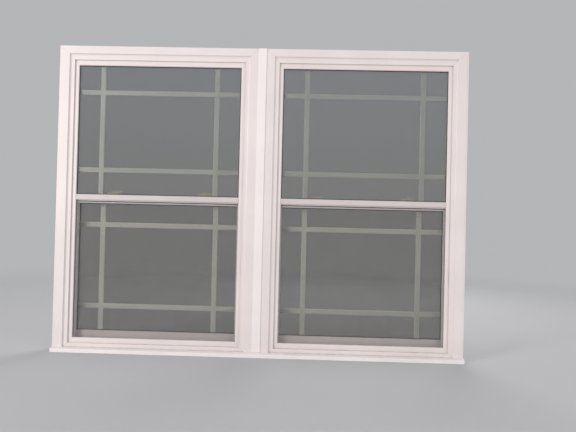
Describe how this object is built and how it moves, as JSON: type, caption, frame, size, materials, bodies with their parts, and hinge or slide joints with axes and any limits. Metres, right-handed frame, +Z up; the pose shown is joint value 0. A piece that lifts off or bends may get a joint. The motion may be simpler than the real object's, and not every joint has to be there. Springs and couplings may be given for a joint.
{
  "type": "sash window",
  "caption": "Twin single-hung vinyl sash window in its frame, with tilting lower sashes, glazing bars between the panes, insect screens and cam locks.",
  "frame": {"origin": "under the middle of the sill nosing, in the plane of the frame's exterior face", "axes": "+X along the wall, +Y from outside into the room, +Z up"},
  "size_m": [1.612, 0.11, 1.21],
  "materials": {
    "vinyl": "satin white extruded vinyl",
    "glass": "clear float glass",
    "spacer": "dark edge spacer and seal",
    "grille": "baked satin paint",
    "lock_metal": "satin paint on die-cast metal",
    "tube": "drawn",
    "screen_frame": "satin paint",
    "mesh": "woven fibreglass insect mesh",
    "pile": "pile",
    "shoe": "moulded",
    "steel": "zinc plated",
    "latch": "moulded",
    "aluminium": "mill"
  },
  "bodies": {
    "fixed": {"mullion_bar": "aluminium", "mullion_cap_outside": "vinyl", "mullion_cap_inside": "vinyl", "sill_nose": "vinyl", "frame_screws": "steel", "left_frame": "vinyl", "left_upper_outer_pane": "glass", "left_upper_inner_pane": "glass", "left_upper_spacer": "spacer", "left_upper_grille": "grille", "left_upper_glazing_beads": "vinyl", "left_meeting_rail": "vinyl", "left_keepers": "lock_metal", "left_balance_tubes": "tube", "left_screen_frame": "screen_frame", "left_screen_mesh": "mesh", "left_weatherstrip": "pile", "right_frame": "vinyl", "right_upper_outer_pane": "glass", "right_upper_inner_pane": "glass", "right_upper_spacer": "spacer", "right_upper_grille": "grille", "right_upper_glazing_beads": "vinyl", "right_meeting_rail": "vinyl", "right_keepers": "lock_metal", "right_balance_tubes": "tube", "right_screen_frame": "screen_frame", "right_screen_mesh": "mesh", "right_weatherstrip": "pile"},
    "left_carriage": {"left_balance_shoes": "shoe", "left_spiral_rods": "steel"},
    "left_sash_body": {"left_sash": "vinyl", "left_sash_outer_pane": "glass", "left_sash_inner_pane": "glass", "left_sash_spacer": "spacer", "left_sash_grille": "grille", "left_sash_glazing_beads": "vinyl", "left_lock_bases": "lock_metal", "left_pivot_bars": "steel", "left_sash_screws": "steel"},
    "left_lock_cam_left_body": {"left_lock_cam_left": "lock_metal"},
    "left_lock_cam_right_body": {"left_lock_cam_right": "lock_metal"},
    "left_tilt_latch_left_body": {"left_tilt_latch_left": "latch"},
    "left_tilt_latch_right_body": {"left_tilt_latch_right": "latch"},
    "right_carriage": {"right_balance_shoes": "shoe", "right_spiral_rods": "steel"},
    "right_sash_body": {"right_sash": "vinyl", "right_sash_outer_pane": "glass", "right_sash_inner_pane": "glass", "right_sash_spacer": "spacer", "right_sash_grille": "grille", "right_sash_glazing_beads": "vinyl", "right_lock_bases": "lock_metal", "right_pivot_bars": "steel", "right_sash_screws": "steel"},
    "right_lock_cam_left_body": {"right_lock_cam_left": "lock_metal"},
    "right_lock_cam_right_body": {"right_lock_cam_right": "lock_metal"},
    "right_tilt_latch_left_body": {"right_tilt_latch_left": "latch"},
    "right_tilt_latch_right_body": {"right_tilt_latch_right": "latch"}
  },
  "joints": [
    {"name": "left_lift", "type": "slide", "parent": "fixed", "child": "left_carriage", "axis": [0, 0, 1], "range_m": [0, 0.48]},
    {"name": "left_tilt", "type": "hinge", "parent": "left_carriage", "child": "left_sash_body", "pos_m": [-0.4075, 0.0695, 0.04], "axis": [-1, 0, 0], "range_deg": [0, 90]},
    {"name": "left_lock_left", "type": "hinge", "parent": "left_sash_body", "child": "left_lock_cam_left_body", "pos_m": [-0.5925, 0.056, 0.635], "axis": [0, 0, 1], "range_deg": [0, 135]},
    {"name": "left_latch_left", "type": "slide", "parent": "left_sash_body", "child": "left_tilt_latch_left_body", "axis": [-1, 0, 0], "range_m": [0, 0.0065]},
    {"name": "left_lock_right", "type": "hinge", "parent": "left_sash_body", "child": "left_lock_cam_right_body", "pos_m": [-0.2225, 0.056, 0.635], "axis": [0, 0, 1], "range_deg": [0, 135]},
    {"name": "left_latch_right", "type": "slide", "parent": "left_sash_body", "child": "left_tilt_latch_right_body", "axis": [1, 0, 0], "range_m": [0, 0.0065]},
    {"name": "right_lift", "type": "slide", "parent": "fixed", "child": "right_carriage", "axis": [0, 0, 1], "range_m": [0, 0.48]},
    {"name": "right_tilt", "type": "hinge", "parent": "right_carriage", "child": "right_sash_body", "pos_m": [0.4075, 0.0695, 0.04], "axis": [-1, 0, 0], "range_deg": [0, 90]},
    {"name": "right_lock_left", "type": "hinge", "parent": "right_sash_body", "child": "right_lock_cam_left_body", "pos_m": [0.2225, 0.056, 0.635], "axis": [0, 0, 1], "range_deg": [0, 135]},
    {"name": "right_latch_left", "type": "slide", "parent": "right_sash_body", "child": "right_tilt_latch_left_body", "axis": [-1, 0, 0], "range_m": [0, 0.0065]},
    {"name": "right_lock_right", "type": "hinge", "parent": "right_sash_body", "child": "right_lock_cam_right_body", "pos_m": [0.5925, 0.056, 0.635], "axis": [0, 0, 1], "range_deg": [0, 135]},
    {"name": "right_latch_right", "type": "slide", "parent": "right_sash_body", "child": "right_tilt_latch_right_body", "axis": [1, 0, 0], "range_m": [0, 0.0065]}
  ]
}
